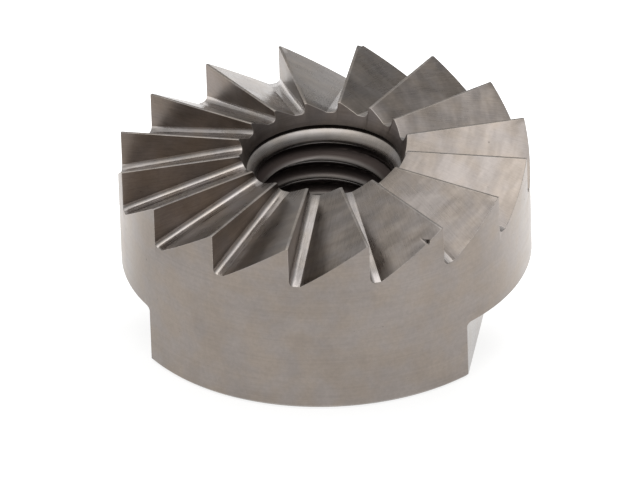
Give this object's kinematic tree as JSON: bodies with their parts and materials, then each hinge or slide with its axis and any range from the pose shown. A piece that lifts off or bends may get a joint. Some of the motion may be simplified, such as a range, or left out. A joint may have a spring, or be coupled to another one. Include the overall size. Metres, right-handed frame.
{
  "type": "threaded face milling cutter",
  "caption": "Toothed steel face cutter that screws onto an angle grinder spindle, with radial saw teeth, a countersunk threaded bush and wrench flats.",
  "frame": {"origin": "centre of the back face, which seats against the grinder's spindle shoulder", "axes": "+Z along the bore axis towards the teeth; the two wrench flats face +X and -X"},
  "size_m": [0.04, 0.04, 0.0177],
  "materials": {
    "tool_steel": "ground and turned bare tool steel, warm grey satin",
    "turned_steel": "turned bare steel, a little brighter than the crown"
  },
  "bodies": {
    "root": {"cutter_crown": "tool_steel", "threaded_bush": "turned_steel"}
  },
  "joints": []
}
